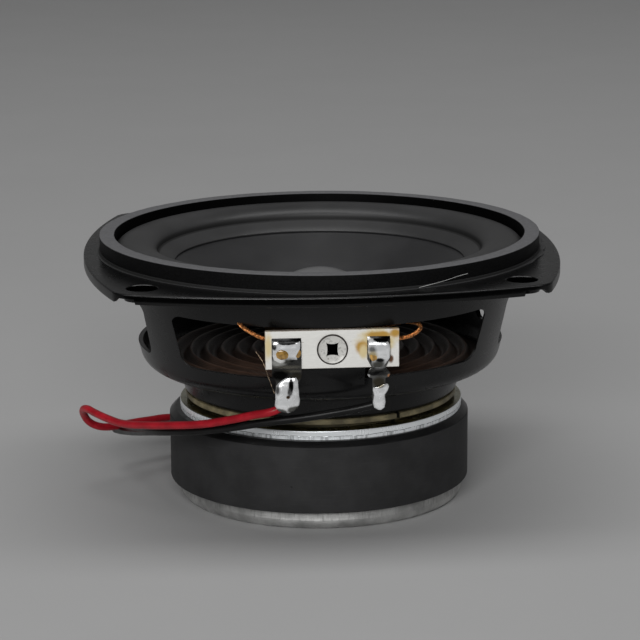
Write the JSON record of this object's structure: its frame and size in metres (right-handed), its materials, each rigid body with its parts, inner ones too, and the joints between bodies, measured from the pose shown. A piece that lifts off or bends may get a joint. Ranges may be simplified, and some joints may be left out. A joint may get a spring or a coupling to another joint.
{
  "type": "loudspeaker driver",
  "caption": "Round-coned full-range speaker driver with a square stamped basket, roll surround, ring magnet and solder terminals with pigtail leads.",
  "frame": {"origin": "centre of the back plate's lower face, which is the bottom centre of the driver without its free leads", "axes": "+Z along the coil axis from the magnet towards the cone; the terminal board faces -Y; +X completes the right-handed frame, along the board"},
  "size_m": [0.1112, 0.109, 0.0623],
  "materials": {
    "zinc_dull": "dull zinc plate",
    "bare_steel": "machined",
    "ferrite": "ground, matte",
    "zinc_bright": "bright zinc plate, sheared edge",
    "fibre": "waxed fibre",
    "rivet_steel": "plated",
    "black_paint": "matte black",
    "gasket": "fine-grained foam plastic",
    "surround_rubber": "satin",
    "cone_plastic": "satin",
    "cap_plastic": "satin",
    "former_film": "satin film",
    "enamelled_copper": "lacquered",
    "brown_cloth": "resin-stiffened weave",
    "adhesive": "set glue",
    "board_paper": "pressed paper board",
    "plated_eyelet": "plated",
    "tinned_lug": "tinned",
    "solder": "bright, uneven",
    "copper_braid": "braided",
    "red_pvc": "satin",
    "black_pvc": "satin",
    "tinned_copper": "tinned strands"
  },
  "bodies": {
    "frame": {"back_plate": "zinc_dull", "pole_piece": "bare_steel", "magnet": "ferrite", "top_plate": "zinc_bright", "spacer_ring": "fibre", "frame_rivets": "rivet_steel", "basket": "black_paint", "gasket_ring": "gasket", "surround": "surround_rubber", "spider": "brown_cloth", "terminal_board": "board_paper", "board_eyelet": "plated_eyelet", "positive_lug": "tinned_lug", "negative_lug": "tinned_lug", "positive_solder": "solder", "negative_solder": "solder", "left_flying_lead": "copper_braid", "right_flying_lead": "copper_braid", "red_lead": "red_pvc", "black_lead": "black_pvc", "red_lead_tip": "tinned_copper", "black_lead_tip": "tinned_copper"},
    "diaphragm": {"cone": "cone_plastic", "dust_cap": "cap_plastic", "coil_former": "former_film", "voice_coil": "enamelled_copper", "lead_anchors": "adhesive"}
  },
  "joints": [
    {"name": "cone_travel", "type": "slide", "parent": "frame", "child": "diaphragm", "axis": [0, 0, 1], "range_m": [-0.003, 0.003], "stiffness_N_per_m": 1100, "deforming": ["surround", "spider", "left_flying_lead", "right_flying_lead"]}
  ]
}
